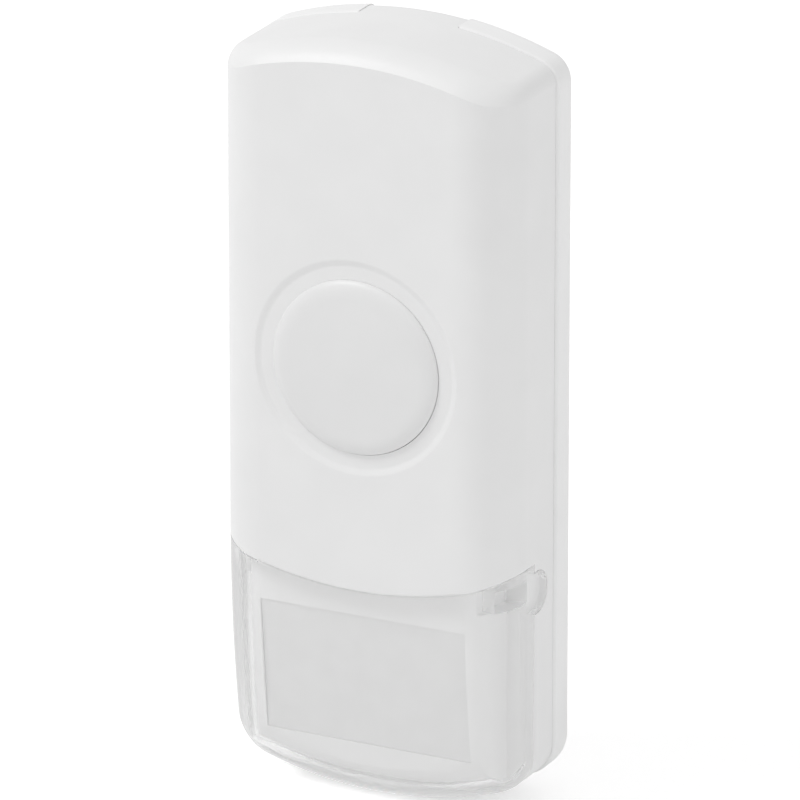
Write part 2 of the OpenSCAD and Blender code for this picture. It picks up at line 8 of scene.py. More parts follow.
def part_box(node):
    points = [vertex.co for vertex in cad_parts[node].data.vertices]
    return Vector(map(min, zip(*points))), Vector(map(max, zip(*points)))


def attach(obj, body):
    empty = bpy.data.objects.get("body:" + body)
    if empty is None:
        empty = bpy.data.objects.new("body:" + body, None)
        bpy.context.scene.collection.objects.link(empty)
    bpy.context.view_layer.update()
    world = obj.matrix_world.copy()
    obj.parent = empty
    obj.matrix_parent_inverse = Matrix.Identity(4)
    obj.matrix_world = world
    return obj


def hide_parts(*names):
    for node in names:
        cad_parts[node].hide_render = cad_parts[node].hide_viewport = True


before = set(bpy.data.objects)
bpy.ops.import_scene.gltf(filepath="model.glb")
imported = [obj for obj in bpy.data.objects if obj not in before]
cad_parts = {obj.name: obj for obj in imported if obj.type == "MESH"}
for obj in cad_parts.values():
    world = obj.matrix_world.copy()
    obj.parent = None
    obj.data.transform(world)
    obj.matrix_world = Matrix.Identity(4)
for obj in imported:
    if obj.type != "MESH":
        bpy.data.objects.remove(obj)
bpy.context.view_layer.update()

mm = 0.001
scene = bpy.context.scene
print("frame loaded:", len(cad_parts), "solids")


# Small helpers

def hexColour(text):
    # sRGB hex to the linear colour that the shaders want
    channels = [int(text[i:i + 2], 16) / 255 for i in (1, 3, 5)]
    linear = [c / 12.92 if c <= 0.04045 else ((c + 0.055) / 1.055) ** 2.4 for c in channels]
    return (*linear, 1.0)


def addNode(tree, kind, inputs=None, **settings):
    made = tree.nodes.new(kind)
    for name, value in settings.items():
        setattr(made, name, value)
    for key, value in (inputs or {}).items():
        if isinstance(value, bpy.types.NodeSocket):
            tree.links.new(value, made.inputs[key])
        else:
            made.inputs[key].default_value = value
    return made


def perMetre(sizeMm):
    # texture scale for a pattern whose features are this many millimetres wide
    return 1.0 / (sizeMm * mm)


def steps(first, last, count):
    return [first + (last - first) * i / (count - 1) for i in range(count)]


def ease(share):
    share = min(max(share, 0.0), 1.0)
    return share * share * (3 - 2 * share)


def middleOf(node):
    low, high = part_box(node)
    return (low + high) / 2


# Materials

def newMaterial(name, **sockets):
    material = bpy.data.materials.new(name)
    material.use_nodes = True
    tree = material.node_tree
    tree.nodes.clear()
    shader = addNode(tree, "ShaderNodeBsdfPrincipled", sockets)
    addNode(tree, "ShaderNodeOutputMaterial", {"Surface": shader.outputs[0]})
    coords = addNode(tree, "ShaderNodeTexCoord").outputs["Object"]
    return material, tree, shader, coords


def noise(tree, vector, sizeMm, detail=2.0):
    inputs = {"Vector": vector, "Scale": perMetre(sizeMm), "Detail": detail}
    return addNode(tree, "ShaderNodeTexNoise", inputs).outputs["Fac"]


def mapRange(tree, value, given=(0, 1), wanted=(0, 1)):
    made = addNode(tree, "ShaderNodeMapRange", {"Value": value, "From Min": given[0], "From Max": given[1],
                                                "To Min": wanted[0], "To Max": wanted[1]})
    return made.outputs["Result"]


def combine(tree, operation, first, second):
    return addNode(tree, "ShaderNodeMath", {0: first, 1: second}, operation=operation).outputs[0]


def relief(tree, shader, height, strength, distance):
    bump = addNode(tree, "ShaderNodeBump", {"Height": height, "Strength": strength, "Distance": distance})
    tree.links.new(bump.outputs["Normal"], shader.inputs["Normal"])


surface = {"tintAt": (0.35, 0.65), "grain": (0.3, 0.7), "grainDetail": 3.0, "relief": 0.4,
           "mouldSpread": 0.04, "metalSpread": 0.07, "metalPatchMm": 2.5}


def mottle(tree, shader, patch, grain, base, shade, roughness, spread, height):
    # colour drifts with the patches, gloss and relief with the grain
    tint = addNode(tree, "ShaderNodeValToRGB", {"Fac": patch})
    for i, colour in enumerate((shade, base)):
        tint.color_ramp.elements[i].position = surface["tintAt"][i]
        tint.color_ramp.elements[i].color = hexColour(colour)
    gloss = mapRange(tree, grain, surface["grain"], (roughness - spread, roughness + spread))
    tree.links.new(tint.outputs["Color"], shader.inputs["Base Color"])
    tree.links.new(gloss, shader.inputs["Roughness"])
    relief(tree, shader, grain, surface["relief"], height * mm)


def moulded(name, base, shade, roughness, ior, grainMm, height, patchMm=9):
    material, tree, shader, coords = newMaterial(name, IOR=ior)
    patch, grain = noise(tree, coords, patchMm), noise(tree, coords, grainMm, surface["grainDetail"])
    mottle(tree, shader, patch, grain, base, shade, roughness, surface["mouldSpread"], height)
    return material


def metal(name, base, shade, roughness, grainMm, stretch, height):
    # stretch draws the grain out along the way the sheet was rolled or the part was turned
    material, tree, shader, coords = newMaterial(name, Metallic=1.0)
    drawn = addNode(tree, "ShaderNodeMapping", {"Vector": coords, "Scale": stretch}).outputs["Vector"]
    patch = noise(tree, coords, surface["metalPatchMm"])
    grain = noise(tree, drawn, grainMm, surface["grainDetail"])
    mottle(tree, shader, patch, grain, base, shade, roughness, surface["metalSpread"], height)
    return material


haze = {
    "index": 1.18, "roughness": 0.12, "clear": 0.8, "tint": "#FAFAFA",
    "left": (-14.5 * mm, -16.5 * mm), "front": (-10.5 * mm, -13.5 * mm),
    # painted shade: the left rounding is greyed and made less clear
    "leftClear": 0.05, "leftPaintedShade": "#D2D2D2",
    # painted light: the lower end is made less clear, so it shows whiter
    "low": (-45 * mm, -41.5 * mm), "lowPaintedLightClear": 0.2,
    "flowMm": 6, "flowDetail": 1.0, "flowRelief": 0.1, "flowHeight": 0.02 * mm,
}


def clearPolycarbonate():
    # clear, but worn to a haze: what is behind shows soft and hardly bent, so the index is kept low
    material, tree, shader, coords = newMaterial("clear_polycarbonate_moulded", IOR=haze["index"],
                                                 Roughness=haze["roughness"])
    # painted light and shade: the lower end is made less clear, so it shows whiter (a painted lightening),
    # and the left rounding is made less clear and grey (a painted shade)
    place = addNode(tree, "ShaderNodeSeparateXYZ", {"Vector": coords}).outputs
    left, front = mapRange(tree, place["X"], haze["left"]), mapRange(tree, place["Y"], haze["front"])
    # mask of the left front rounding, where the painted shade goes
    side = combine(tree, "MULTIPLY", left, front)
    shadedLeftClear = mapRange(tree, side, wanted=(haze["clear"], haze["leftClear"]))
    # painted light: the lower end turns whiter as it gets less clear
    lowPaintedLightClear = mapRange(tree, place["Z"], haze["low"], (haze["lowPaintedLightClear"], haze["clear"]))
    # the lesser clearness of the painted shade on the left and the painted lightening at the lower end
    lightAndShadeClear = combine(tree, "MINIMUM", shadedLeftClear, lowPaintedLightClear)
    # painted shade: grey on the left rounding
    tint = addNode(tree, "ShaderNodeMix", {"Factor": side, "A": hexColour(haze["tint"]),
                                           "B": hexColour(haze["leftPaintedShade"])}, data_type="RGBA")
    tree.links.new(lightAndShadeClear, shader.inputs["Transmission Weight"])
    tree.links.new(tint.outputs["Result"], shader.inputs["Base Color"])
    flow = noise(tree, coords, haze["flowMm"], haze["flowDetail"])
    relief(tree, shader, flow, haze["flowRelief"], haze["flowHeight"])
    # light goes straight through to the card; only the eye sees the window bend anything
    path = addNode(tree, "ShaderNodeLightPath").outputs
    either = combine(tree, "MAXIMUM", path["Is Shadow Ray"], path["Is Diffuse Ray"])
    clear = addNode(tree, "ShaderNodeBsdfTransparent", {"Color": hexColour("#FFFFFF")})
    mix = addNode(tree, "ShaderNodeMixShader", {0: either, 1: shader.outputs[0], 2: clear.outputs[0]})
    tree.links.new(mix.outputs[0], tree.nodes["Material Output"].inputs["Surface"])
    return material


def boardLaminate():
    # green mask over copper: the tracks below show as paler raised lines
    material, tree, shader, coords = newMaterial("glass_epoxy_laminate_green_mask", Roughness=0.32)
    upright = addNode(tree, "ShaderNodeMapping", {"Vector": coords, "Rotation": (math.pi / 2, 0, 0)})
    tracks = addNode(tree, "ShaderNodeTexBrick", {
        "Vector": upright.outputs["Vector"], "Scale": perMetre(1),     # so the sizes below are millimetres
        "Brick Width": 4.3, "Row Height": 2.2, "Mortar Size": 0.16, "Mortar Smooth": 0.3,
        "Color1": hexColour("#0F4A2A"), "Color2": hexColour("#0D4326"), "Mortar": hexColour("#175C35")},
        offset=0.37, offset_frequency=3, squash=0.55, squash_frequency=3)
    tree.links.new(tracks.outputs["Color"], shader.inputs["Base Color"])
    relief(tree, shader, tracks.outputs["Fac"], strength=0.5, distance=0.03 * mm)
    return material


def castEpoxy():
    # tinted resin: a dark red body with a bright glint on the dome
    material, tree, shader, coords = newMaterial("epoxy_cast_red_tint", IOR=1.5)
    shader.inputs["Transmission Weight"].default_value = 0.5
    shader.inputs["Roughness"].default_value = 0.08
    cloud = noise(tree, coords, sizeMm=1.5)
    tint = addNode(tree, "ShaderNodeMix", {"Factor": cloud, "A": hexColour("#B8201A"),
                                           "B": hexColour("#C82A22")}, data_type="RGBA")
    tree.links.new(tint.outputs["Result"], shader.inputs["Base Color"])
    return material


# Fine spark-eroded satin spreads the light along the roundings, so the white stays soft there
coverAbs = moulded("white_abs_moulded_satin", "#EFEFEF", "#EDEDED", 0.45, 1.53, 0.35, 0.005)
# The inside of a mould is left plainer, with a little more gloss
insideAbs = moulded("white_abs_moulded_inside", "#EFEFEF", "#ECECEC", 0.36, 1.53, 0.8, 0.004)
# Thumbs polish the button, so its edge has a tighter highlight
buttonAbs = moulded("white_abs_moulded_polished", "#E9E9E9", "#E7E7E7", 0.42, 1.53, 0.5, 0.003)
# The plate is the same plastic with a coarser, duller grain
plateAbs = moulded("white_abs_moulded_plate", "#F5F5F5", "#F2F2F2", 0.44, 1.53, 0.45, 0.006)
windowClear = clearPolycarbonate()
# Pressed card is dull, with short fibres and a faint cloud in its tone
cardPaper = moulded("card_paper_calendered", "#E2E2E2", "#DEDEDE", 0.75, 1.5, 0.25, 0.008, 2)
# Silicone is nearly black and has a soft broad sheen
sealRubber = moulded("silicone_rubber_moulded", "#242424", "#1E1E1E", 0.6, 1.43, 0.3, 0.006, 3)
laminate = boardLaminate()
# Filled epoxy looks like fine slate
chipEpoxy = moulded("epoxy_moulded_black", "#1A1A1C", "#141415", 0.55, 1.55, 0.12, 0.006, 1)
# Nylon is a plain black with a waxy sheen
blackNylon = moulded("nylon_moulded_black", "#161616", "#111111", 0.42, 1.53, 0.3, 0.005, 2)
ledEpoxy = castEpoxy()
# Fired ceramics: dense and even, with a dull glaze
trimmerCeramic = moulded("ceramic_fired_ivory", "#DDD3B8", "#D3C8AA", 0.35, 1.6, 0.3, 0.003, 1.5)
chipCeramic = moulded("ceramic_fired_tan", "#B59A70", "#A88D64", 0.4, 1.6, 0.2, 0.003, 0.8)
# Shrunk film over a steel can: glossy, with slow ripples
sleeveFilm = moulded("pvc_sleeve_shrunk_dark", "#2B3134", "#262B2E", 0.25, 1.53, 1.6, 0.02, 4)
# Zinc gives the screw a cool grey with fine turning marks
screwZinc = metal("steel_screw_zinc_plated", "#B9BDC0", "#A9ADB0", 0.32, 0.25, (1, 4, 1), 0.004)
# Bare foil has gone brown in patches
copperFoil = metal("copper_foil_etched", "#C98A5A", "#A96A3E", 0.4, 0.4, (1, 1, 1), 0.003)
# Dipped tin: pale, with a slight grain along the strip
tinnedSheet = metal("steel_sheet_tinned", "#C9CACB", "#BDBEC0", 0.34, 0.3, (5, 1, 1), 0.003)
# Nickel on a drawn can: the brightest metal, with drawing marks up its side
nickelCan = metal("nickel_plated_can_drawn", "#CFCBC2", "#C4C0B6", 0.22, 0.5, (1, 0.2, 1), 0.003)
# Rolled spring sheet keeps fine level marks under its nickel
springSheet = metal("spring_sheet_nickel_plated", "#C6C4BE", "#B8B6B0", 0.28, 0.35, (1, 1, 5), 0.003)
# A cap pressed from thin sheet: yellowish, with a gloss that clouds a little
pressedCap = metal("battery_cap_pressed_nickel", "#CDBE92", "#BFAF82", 0.3, 0.4, (1, 1, 1), 0.003)
# Solder has flowed, so it is smooth and mirrors its surroundings
solder = metal("solder_tin_flowed", "#C4C6C8", "#B2B4B6", 0.2, 0.5, (1, 1, 1), 0.004)

nodeMaterials = {
    "back_plate": plateAbs, "front_cover": insideAbs, "name_window": windowClear, "label_card": cardPaper,
    "push_button": buttonAbs, "button_seal": sealRubber, "circuit_board": laminate, "board_screws": screwZinc,
    "antenna_track": copperFoil, "switch_body": blackNylon, "switch_plate": tinnedSheet,
    "switch_plunger": blackNylon, "status_led": ledEpoxy, "encoder_chip": chipEpoxy, "chip_pins": tinnedSheet,
    "saw_resonator": nickelCan, "rf_transistor": chipEpoxy, "trim_capacitor": trimmerCeramic,
    "chip_resistors": chipEpoxy, "chip_capacitors": chipCeramic, "battery": sleeveFilm,
    "battery_cap": pressedCap, "contact_plus": springSheet, "contact_minus": springSheet,
}
for name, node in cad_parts.items():
    node.data.materials.clear()
    node.data.materials.append(nodeMaterials[name])
print("materials made:", len(bpy.data.materials))


# Mesh tools

# angles in degrees
meshing = {"join": 0.0005 * mm, "joinPacked": 0.002 * mm, "sharp": 25, "softSharp": 35, "bevelFrom": 40,
           "bevelSteps": 2, "flat": 0.5, "cornerShare": 0.45, "cornerSteps": 5}


def loadMesh(mesh, join=0.0):
    work = bmesh.new()
    work.from_mesh(mesh)
    if join:
        bmesh.ops.remove_doubles(work, verts=work.verts, dist=join)
    return work


def saveMesh(work, mesh):
    work.to_mesh(mesh)
    work.free()


def tidyFaces(made, sharp=meshing["sharp"]):
    # merged, pointing outwards and smooth up to an angle
    work = loadMesh(made.data, meshing["join"])
    bmesh.ops.recalc_face_normals(work, faces=work.faces)
    for face in work.faces:
        face.smooth = True
    for edge in work.edges:
        edge.smooth = len(edge.link_faces) == 2 and edge.calc_face_angle() < math.radians(sharp)
    saveMesh(work, made.data)


def newObject(name, points, faces, material):
    mesh = bpy.data.meshes.new(name)
    mesh.from_pydata(points, [], faces)
    mesh.materials.append(material)
    made = bpy.data.objects.new(name, mesh)
    scene.collection.objects.link(made)
    tidyFaces(made)
    return made


def packedCopy(node, piece, material):
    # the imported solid's own mesh, merged
    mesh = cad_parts[node].data.copy()
    mesh.name = piece
    mesh.materials.clear()
    mesh.materials.append(material)
    if "custom_normal" in mesh.attributes:
        mesh.attributes.remove(mesh.attributes["custom_normal"])
    made = bpy.data.objects.new(piece, mesh)
    scene.collection.objects.link(made)
    saveMesh(loadMesh(mesh, meshing["joinPacked"]), mesh)
    return made


def settle(made):
    # the modifiers' result becomes the plain mesh
    depsgraph = bpy.context.evaluated_depsgraph_get()
    mesh = bpy.data.meshes.new_from_object(made.evaluated_get(depsgraph), depsgraph=depsgraph)
    mesh.name = made.name
    made.modifiers.clear()
    made.data = mesh


def evenNormals(made):
    made.modifiers.new("even_normals", "WEIGHTED_NORMAL").keep_sharp = True
    settle(made)


def carve(made, tool, operation, keep=False):
    cut = made.modifiers.new("carve", "BOOLEAN")
    cut.object = tool
    cut.operation = operation
    cut.solver = "MANIFOLD"
    cut.material_mode = "TRANSFER"
    settle(made)
    tidyFaces(made)
    if not keep:
        bpy.data.objects.remove(tool)


def soften(made, edge):
    bevel = made.modifiers.new("soft_edges", "BEVEL")
    bevel.width = edge
    bevel.segments = meshing["bevelSteps"]
    bevel.limit_method = "ANGLE"
    bevel.angle_limit = math.radians(meshing["bevelFrom"])
    settle(made)
    tidyFaces(made, meshing["softSharp"])
    evenNormals(made)


def softCopy(node, piece, edge):
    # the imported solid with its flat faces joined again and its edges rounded
    made = packedCopy(node, piece, nodeMaterials[node])
    work = loadMesh(made.data)
    bmesh.ops.dissolve_limit(work, angle_limit=math.radians(meshing["flat"]), verts=work.verts,
                             edges=work.edges)
    saveMesh(work, made.data)
    soften(made, edge)
    return made


def plainBoxes(name, boxes, material):
    # boxes as pairs of opposite corners
    points, faces = [], []
    for low, high in boxes:
        start = len(points)
        points += [(x, y, z) for x in (low[0], high[0]) for y in (low[1], high[1]) for z in (low[2], high[2])]
        sides = [(0, 1, 3, 2), (4, 6, 7, 5), (0, 4, 5, 1), (2, 3, 7, 6), (0, 2, 6, 4), (1, 5, 7, 3)]
        faces += [tuple(start + i for i in side) for side in sides]
    return newObject(name, points, faces, material)


def softBoxes(name, boxes, edge, material):
    made = plainBoxes(name, boxes, material)
    soften(made, edge)
    return made


def roundCorners(points, reach):
    # each corner of a line becomes a short curve
    rounded = [points[0]]
    for before, corner, after in zip(points, points[1:], points[2:]):
        corner = Vector(corner)
        ends = []
        for other in (Vector(before), Vector(after)):
            way = other - corner
            ends.append(corner + way.normalized() * min(reach, way.length * meshing["cornerShare"]))
        for t in steps(0, 1, meshing["cornerSteps"]):
            rounded.append(tuple(ends[0] * (1 - t) ** 2 + corner * 2 * t * (1 - t) + ends[1] * t * t))
    return rounded + [points[-1]]


def ringFaces(rows, count):
    # closed rings of points, each joined to the next
    faces = []
    for row in range(rows - 1):
        here, ahead = row * count, (row + 1) * count
        for i in range(count):
            after = (i + 1) % count
            faces.append((here + i, here + after, ahead + after, ahead + i))
    return faces


def lathe(name, profile, place, material, turns=96, lengthwise=False):
    # profile: radius and distance along the axis, which runs into the wall or, lengthwise, along X
    points = []
    for radius, far in profile:
        for step in range(turns):
            angle = 2 * math.pi * step / turns
            across, up = radius * math.cos(angle), radius * math.sin(angle)
            points.append(place + Vector((far, across, up) if lengthwise else (across, far, up)))
    made = newObject(name, points, ringFaces(len(profile), turns), material)
    evenNormals(made)
    return made


def loftHalves(name, halves, material):
    # each half ring runs from the bottom middle round the right side to the top middle
    count = len(halves[0])
    points, faces = [], []
    for half in halves:
        for side in (1, -1):
            points += [(side * x, faceY + depth, z) for x, depth, z in half]
    for row in range(len(halves) - 1):
        for start in (2 * count * row, 2 * count * row + count):
            ahead = start + 2 * count
            faces += [(start + i, start + i + 1, ahead + i + 1, ahead + i) for i in range(count - 1)]
    for first in (0, 2 * count * (len(halves) - 1)):     # both ends, rung by rung
        other = first + count
        faces += [(first + i, first + i + 1, other + i + 1, other + i) for i in range(count - 1)]
    return newObject(name, points, faces, material)


def loftLoops(name, loops, material):
    # closed loops of equal length, each joined to the next, with both ends filled
    count = len(loops[0])
    points = [point for loop in loops for point in loop]
    ends = [tuple(range(count)), tuple(range(len(points) - count, len(points)))]
    return newObject(name, points, ends + ringFaces(len(loops), count), material)


pieces = []


def placePiece(made, body, slot, *nodes):
    if nodes:
        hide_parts(*nodes)
    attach(made, body)
    pieces.append(made)


def openEdges(made):
    # edges that don't join exactly two faces
    work = loadMesh(made.data)
    count = sum(len(edge.link_faces) != 2 for edge in work.edges)
    work.free()
    return count


# Outer form of the case: one smooth skin that the cover and the window share

coverLow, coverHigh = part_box("front_cover")
faceY = coverLow.y
form = {
    "halfWidth": coverHigh.x, "endRadius": 47.7 * mm, "end": coverHigh.z,
    "sideRound": 6.5 * mm, "bottomRound": 5.5 * mm, "bendFrom": -15 * mm, "bendRadius": 150 * mm,
    "cornerTop": 2.3 * mm, "cornerLow": 4.7 * mm, "rear": 17.9 * mm,
    "tall": 12 * mm,         # the skin runs on past the top end, which is cut afterwards
    "inside": 0.02 * mm,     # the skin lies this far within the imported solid, so that only the skin shows
    "arcPoints": 26, "cornerPoints": 14, "sidePoints": 44, "roundRings": 22, "wallRings": 12,
}
endDrop = form["endRadius"] - form["end"]


def bend(z):
    below = max(form["bendFrom"] - z, 0.0)
    return form["bendRadius"] - math.sqrt(form["bendRadius"] ** 2 - below ** 2)


# where the bottom rounding leaves the bent face
lowMiddle = form["endRadius"] - form["bottomRound"] - endDrop
lowTilt = math.asin((form["bendFrom"] + lowMiddle) / (form["bendRadius"] - form["bottomRound"]))
lowDepth = form["bendRadius"] - (form["bendRadius"] - form["bottomRound"]) * math.cos(lowTilt)


def outlineEnd(halfWidth, radius, corner):
    # one end from its middle out to the straight side: across, up, share of the side
    across = halfWidth - corner
    up = math.sqrt((radius - corner) ** 2 - across ** 2)
    touch = math.atan2(across, up)
    points = [(radius * math.sin(a), radius * math.cos(a) - endDrop, 0.0)
              for a in steps(0, touch, form["arcPoints"])]
    for a in steps(touch, math.pi / 2, form["cornerPoints"])[1:]:
        share = (a - touch) / (math.pi / 2 - touch)
        points.append((across + corner * math.sin(a), up - endDrop + corner * math.cos(a), share))
    return points


def halfRing(top, low, halfWidth):
    sideZ = steps(-low[-1][1], top[-1][1], form["sidePoints"])
    half = [(x, -z, side, "low") for x, z, side in low]
    half += [(halfWidth, z, 1.0, "side") for z in sideZ[1:-1]]
    return half + [(x, z, side, "top") for x, z, side in reversed(top)]


def caseRing(turn, wall):
    # turn runs from 0 at the walls to 90 degrees on the face, wall from 0 there to 1 at the rear
    lowTurn = turn * (1 - lowTilt / (math.pi / 2))
    inside = form["inside"]
    sideIn = inside + form["sideRound"] * (1 - math.cos(turn))
    lowIn = inside + form["bottomRound"] * (1 - math.cos(lowTurn))
    halfWidth = form["halfWidth"] - sideIn
    top = outlineEnd(halfWidth, form["endRadius"] + form["tall"] - sideIn, form["cornerTop"])
    low = outlineEnd(halfWidth, form["endRadius"] - lowIn, form["cornerLow"])
    lowEnd = lowDepth - form["bottomRound"] * math.sin(lowTurn)
    ring = []
    for x, z, side, part in halfRing(top, low, halfWidth):
        depth = form["sideRound"] * (1 - math.sin(turn)) + bend(z)
        if part == "low":
            depth += (lowEnd - depth) * (1 - ease(side))
        depth += (form["rear"] - depth) * wall
        ring.append((x, inside + depth, z))
    return ring


rings = [caseRing(0.0, wall) for wall in reversed(steps(0, 1, form["wallRings"])[1:])]
rings += [caseRing(turn, 0.0) for turn in steps(0, math.pi / 2, form["roundRings"])]
skin = loftHalves("case_skin", rings, coverAbs)


def topZ(x):
    return math.sqrt((form["endRadius"] - form["inside"]) ** 2 - x ** 2) - endDrop


# Top end: a plain curve across, rounded off behind on the tongue

topEnd = {"reach": 24 * mm, "high": 70 * mm, "across": 97, "ahead": -5 * mm, "tailFrom": 15.85 * mm,
          "tailRound": 1.83 * mm, "tailSteps": 8, "behind": 20 * mm}


def topCutter():
    rows = [(topEnd["ahead"], 0.0)]
    for turn in steps(0, math.pi / 2, topEnd["tailSteps"]):
        back = topEnd["tailFrom"] + topEnd["tailRound"] * math.sin(turn)
        rows.append((back, topEnd["tailRound"] * (1 - math.cos(turn))))
    rows.append((topEnd["behind"], topEnd["tailRound"]))
    across = steps(-topEnd["reach"], topEnd["reach"], topEnd["across"])
    loops = []
    for depth, drop in rows:
        low = [(x, faceY + depth, topZ(x) - drop) for x in across]
        loops.append(low + [(side * topEnd["reach"], faceY + depth, topEnd["high"]) for side in (1, -1)])
    return loftLoops("top_cutter", loops, coverAbs)


# Top edge: its rounding leaves the face in a crease, and runs out smoothly on the side walls

topEdge = {
    "faceRadius": 4.5 * mm, "crease": math.radians(34), "wallRadius": 1.6 * mm, "rings": 16, "away": 5 * mm,
    "over": 0.005 * mm, "behind": 24 * mm, "flatSteps": 20, "roundSteps": 22, "wallSteps": 8,
}


def topEdgeSection(x, depth, angle):
    # what is cut off at one place along the edge; angle says how far that place looks sideways
    share = ease(angle / (math.pi / 2))
    radius = topEdge["faceRadius"] + (topEdge["wallRadius"] - topEdge["faceRadius"]) * share
    start = topEdge["crease"] * (1 - share)
    section = []
    for turn in steps(start, math.pi / 2, topEdge["rings"]):
        section.append((radius * (math.cos(start) - math.cos(turn)) - topEdge["over"],
                        radius * (1 - math.sin(turn)) - topEdge["over"]))
    away = -topEdge["away"]
    section += [(section[-1][0], away), (away, away), (away, section[0][1])]
    points = []
    for inward, down in section:
        across = x - inward * math.sin(angle)
        back = faceY + form["inside"] + depth + inward * math.cos(angle)
        points.append((across, back, topZ(across) - down))
    return points


def topEdgeCutter():
    flat = form["halfWidth"] - form["inside"] - form["sideRound"]
    half = [topEdgeSection(x, 0.0, 0.0) for x in steps(0, flat, topEdge["flatSteps"])]
    for angle in steps(0, math.pi / 2, topEdge["roundSteps"])[1:]:
        side = flat + form["sideRound"] * math.sin(angle)
        half.append(topEdgeSection(side, form["sideRound"] * (1 - math.cos(angle)), angle))
    for depth in steps(form["sideRound"], topEdge["behind"], topEdge["wallSteps"])[1:]:
        half.append(topEdgeSection(side, depth, math.pi / 2))
    mirrored = [[(-x, y, z) for x, y, z in section] for section in reversed(half[1:])]
    return loftLoops("top_edge_cutter", mirrored + half, coverAbs)


# Front cover, with a shallow recess round the button

buttonLow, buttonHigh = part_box("push_button")
buttonMiddle = Vector((0, faceY, (buttonLow.z + buttonHigh.z) / 2))
dish = {"radius": 12.25 * mm, "slope": 1.0 * mm, "depth": 0.28 * mm, "steps": 14, "lip": 0.0005 * mm,
        "above": -2 * mm, "turns": 192}
flangeWide = 1.17 * mm
buttonRadius = buttonHigh.x - flangeWide
filler = {
    "hole": buttonRadius + 0.033 * mm, "dish": 12.9 * mm, "dishDeep": 1.2 * mm,
    "edgeWide": 3.2 * mm, "edgeDeep": 1.5 * mm, "proud": 0.05 * mm, "turns": 256,
}


def ringFiller(name, inner, outer, deep, middle):
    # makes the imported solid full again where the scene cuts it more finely
    profile = [(inner, -filler["proud"]), (outer, -filler["proud"]), (outer, deep), (inner, deep)]
    return lathe(name, profile + profile[:1], middle, coverAbs, filler["turns"])


def dishCutter():
    half = dish["slope"] / 2
    floor = dish["depth"] + form["inside"]
    lip = form["inside"] - dish["lip"]
    profile = [(0.0, floor)]
    for share in steps(0, 1, dish["steps"]):
        profile.append((dish["radius"] - half + dish["slope"] * share, floor + (lip - floor) * ease(share)))
    profile += [(dish["radius"] + half, dish["above"]), (0.0, dish["above"])]
    return lathe("dish_cutter", profile, buttonMiddle, coverAbs, dish["turns"])


lowerEdge = {"middle": Vector((0, faceY, 29.3 * mm)), "radius": 48 * mm, "round": 0.4 * mm, "steps": 6,
             "over": 0.05 * mm, "above": -1 * mm, "turns": 720}


def lowerEdgeCutter():
    # takes the corner off the cover where it overhangs the window
    inner = lowerEdge["radius"] - lowerEdge["round"]
    lip = form["inside"] - dish["lip"]
    profile = [(inner, lowerEdge["above"])]
    for turn in steps(0, math.pi / 2, lowerEdge["steps"]):
        deep = lip + lowerEdge["round"] * (1 - math.cos(turn))
        profile.append((inner + lowerEdge["round"] * math.sin(turn), deep))
    outer = lowerEdge["radius"] + lowerEdge["over"]
    profile += [(outer, profile[-1][1]), (outer, lowerEdge["above"]), profile[0]]
    return lathe("edge_cutter", profile, lowerEdge["middle"], coverAbs, lowerEdge["turns"])


cover = packedCopy("front_cover", "cover_shell", insideAbs)
endOuter = form["endRadius"] + filler["proud"]
fillers = [ringFiller("dish_filler", filler["hole"], filler["dish"], filler["dishDeep"], buttonMiddle),
           ringFiller("edge_filler", endOuter - filler["edgeWide"], endOuter, filler["edgeDeep"],
                      Vector((0, faceY, -endDrop)))]
for tool in fillers:
    carve(cover, tool, "UNION")
carve(cover, skin, "INTERSECT", keep=True)     # the window needs it too
for tool in (topCutter(), topEdgeCutter(), dishCutter(), lowerEdgeCutter()):
    carve(cover, tool, "DIFFERENCE")
evenNormals(cover)
placePiece(cover, "front_unit", "cover_abs", "front_cover")

# Clear window

window = packedCopy("name_window", "window_clear", windowClear)
skin.data.materials[0] = windowClear
carve(window, skin, "INTERSECT")
evenNormals(window)
placePiece(window, "window", "clear_window", "name_window")

# Wall plate with a soft rim

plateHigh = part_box("back_plate")[1]
rim = {
    "halfWidth": plateHigh.x - 0.05 * mm, "topRadius": 47.8 * mm, "lowRadius": 47.9 * mm,
    "cornerTop": 3.4 * mm, "cornerLow": 4.8 * mm, "leastCorner": 0.6 * mm,
    "front": 13.3 * mm, "rear": 17.99 * mm, "ahead": 11 * mm,
    "frontRound": 0.5 * mm, "backRound": 1.85 * mm, "rings": 8,
    "notchIn": 6.22 * mm, "notchOut": 6.6 * mm, "notchLow": 43.3 * mm, "notchHigh": 46 * mm,
}


def rimRing(inset, depth):
    halfWidth = rim["halfWidth"] - inset
    ends = []
    for part in ("Top", "Low"):
        radius = rim[part.lower() + "Radius"] - inset
        ends.append(outlineEnd(halfWidth, radius, max(rim["corner" + part] - inset, rim["leastCorner"])))
    return [(x, depth, z) for x, z, side, part in halfRing(*ends, halfWidth)]


def notchFiller():
    # closes up the notch at the top to a hairline beside the cover's tongue
    boxes = []
    for side in (-1, 1):
        across = sorted((side * rim["notchIn"], side * rim["notchOut"]))
        boxes.append(((across[0], faceY + rim["front"], rim["notchLow"]), (across[1], 0.0, rim["notchHigh"])))
    return plainBoxes("notch_filler", boxes, plateAbs)


rings = [rimRing(rim["frontRound"], rim["ahead"])]
for turn in steps(0, math.pi / 2, rim["rings"]):
    depth = rim["front"] + rim["frontRound"] * (1 - math.cos(turn))
    rings.append(rimRing(rim["frontRound"] * (1 - math.sin(turn)), depth))
for turn in steps(0, math.pi / 2, rim["rings"]):
    depth = rim["rear"] - rim["backRound"] * (1 - math.sin(turn))
    rings.append(rimRing(rim["backRound"] * (1 - math.cos(turn)), depth))
wallPlate = packedCopy("back_plate", "wall_plate", plateAbs)
carve(wallPlate, notchFiller(), "UNION")
carve(wallPlate, loftHalves("plate_skin", rings, plateAbs), "INTERSECT")
evenNormals(wallPlate)
placePiece(wallPlate, "wall_plate", "plate_abs", "back_plate")

# Push button

